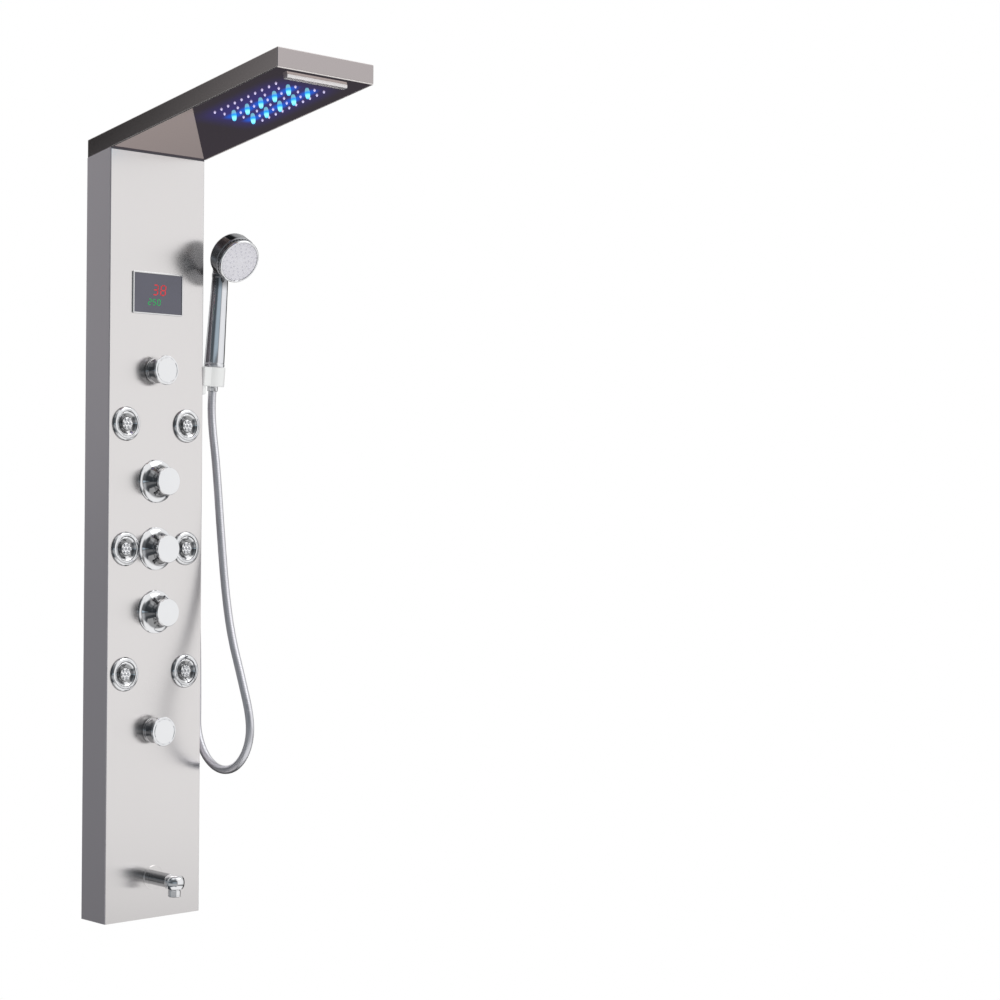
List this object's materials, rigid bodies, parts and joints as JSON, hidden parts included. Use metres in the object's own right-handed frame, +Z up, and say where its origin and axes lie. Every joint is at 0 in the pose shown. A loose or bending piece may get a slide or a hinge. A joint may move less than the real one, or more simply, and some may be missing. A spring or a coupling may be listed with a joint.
{
  "type": "shower panel",
  "caption": "Wall-hung brushed steel shower panel with a tilted rain and waterfall head, turning knobs, swivel body jets, bath spout, display and a lift-off hand shower on a hose.",
  "frame": {"origin": "centre of the four wall-screw holes, on the wall plane", "axes": "+Z up, +X to the viewer's right, -Y out of the wall towards the user"},
  "size_m": [0.2661, 0.47, 1.3687],
  "materials": {
    "brushed_panel": "brushed along the height, semi-gloss",
    "mirror_plate": "polished to a mirror",
    "galvanised_steel": "zinc plated",
    "moulded_plastic": "plain moulded",
    "soft_nozzle": "soft silicone",
    "lamp_lens": "clear lens over a lamp",
    "polished_chrome": "polished",
    "silver_bezel": "satin metal frame",
    "display_glass": "dark window",
    "cast_brass": "as machined",
    "spout_mesh": "polished with a mesh insert",
    "spray_plate": "smooth plated"
  },
  "bodies": {
    "column": {"front_panel": "brushed_panel", "head_shell": "brushed_panel", "head_plate": "mirror_plate", "wall_brackets": "galvanised_steel", "hanging_rails": "galvanised_steel", "head_gussets": "galvanised_steel", "holder_screws": "galvanised_steel", "rain_chamber": "moulded_plastic", "display_case": "moulded_plastic", "jet_bodies": "moulded_plastic", "jet_nuts": "moulded_plastic", "handset_holder": "moulded_plastic", "rain_nozzles": "soft_nozzle", "led_lenses": "lamp_lens", "waterfall_outlet": "polished_chrome", "spout_body": "polished_chrome", "spout_rosette": "polished_chrome", "jet_rings": "polished_chrome", "hose_outlet": "polished_chrome", "hose_outlet_nut": "polished_chrome", "shower_hose": "polished_chrome", "display_bezel": "silver_bezel", "display_glass": "display_glass", "mixer_body": "cast_brass", "supply_risers": "cast_brass", "outlet_pipes": "cast_brass", "jet_manifold": "cast_brass", "spout_shank": "cast_brass", "lock_nuts": "cast_brass", "clamp_nuts": "cast_brass", "valve_cartridges": "cast_brass", "mixer_cartridge": "cast_brass", "rain_valve_body": "cast_brass", "waterfall_valve_body": "cast_brass", "jets_valve_body": "cast_brass", "spout_valve_body": "cast_brass", "spout_aerator": "spout_mesh"},
    "rain_control": {"rain_knob": "polished_chrome", "rain_spindle": "cast_brass"},
    "waterfall_control": {"waterfall_knob": "polished_chrome", "waterfall_spindle": "cast_brass"},
    "mixer_control": {"mixer_knob": "polished_chrome", "mixer_spindle": "cast_brass"},
    "jets_control": {"jets_knob": "polished_chrome", "jets_spindle": "cast_brass"},
    "spout_control": {"spout_knob": "polished_chrome", "spout_spindle": "cast_brass"},
    "jet_upper_left": {"jet_ball_upper_left": "polished_chrome"},
    "jet_upper_right": {"jet_ball_upper_right": "polished_chrome"},
    "jet_middle_left": {"jet_ball_middle_left": "polished_chrome"},
    "jet_middle_right": {"jet_ball_middle_right": "polished_chrome"},
    "jet_lower_left": {"jet_ball_lower_left": "polished_chrome"},
    "jet_lower_right": {"jet_ball_lower_right": "polished_chrome"},
    "handset": {"handset_body": "polished_chrome", "handset_trim": "polished_chrome", "handset_face": "spray_plate", "handset_nozzles": "soft_nozzle", "hose_cone_nut": "polished_chrome"}
  },
  "joints": [
    {"name": "rain_turn", "type": "hinge", "parent": "column", "child": "rain_control", "pos_m": [0, -0.064, 0.279], "axis": [0, -1, 0], "range_deg": [0, 90]},
    {"name": "waterfall_turn", "type": "hinge", "parent": "column", "child": "waterfall_control", "pos_m": [0, -0.064, 0.095], "axis": [0, -1, 0], "range_deg": [0, 90]},
    {"name": "mixer_turn", "type": "hinge", "parent": "column", "child": "mixer_control", "pos_m": [0, -0.064, -0.017], "axis": [0, -1, 0], "range_deg": [-60, 60]},
    {"name": "jets_turn", "type": "hinge", "parent": "column", "child": "jets_control", "pos_m": [0, -0.064, -0.122], "axis": [0, -1, 0], "range_deg": [0, 90]},
    {"name": "spout_turn", "type": "hinge", "parent": "column", "child": "spout_control", "pos_m": [0, -0.064, -0.319], "axis": [0, -1, 0], "range_deg": [-90, 90]},
    {"name": "jet_upper_left_tilt", "type": "hinge", "parent": "column", "child": "jet_upper_left", "pos_m": [-0.064, -0.06, 0.189], "axis": [1, 0, 0], "range_deg": [-15, 15]},
    {"name": "jet_upper_right_tilt", "type": "hinge", "parent": "column", "child": "jet_upper_right", "pos_m": [0.064, -0.06, 0.189], "axis": [1, 0, 0], "range_deg": [-15, 15]},
    {"name": "jet_middle_left_tilt", "type": "hinge", "parent": "column", "child": "jet_middle_left", "pos_m": [-0.064, -0.06, -0.017], "axis": [1, 0, 0], "range_deg": [-15, 15]},
    {"name": "jet_middle_right_tilt", "type": "hinge", "parent": "column", "child": "jet_middle_right", "pos_m": [0.064, -0.06, -0.017], "axis": [1, 0, 0], "range_deg": [-15, 15]},
    {"name": "jet_lower_left_tilt", "type": "hinge", "parent": "column", "child": "jet_lower_left", "pos_m": [-0.064, -0.06, -0.223], "axis": [1, 0, 0], "range_deg": [-15, 15]},
    {"name": "jet_lower_right_tilt", "type": "hinge", "parent": "column", "child": "jet_lower_right", "pos_m": [0.064, -0.06, -0.223], "axis": [1, 0, 0], "range_deg": [-15, 15]},
    {"name": "handset_lift", "type": "slide", "parent": "column", "child": "handset", "axis": [0, -0.0958, 0.9954], "range_m": [0, 0.06]}
  ]
}
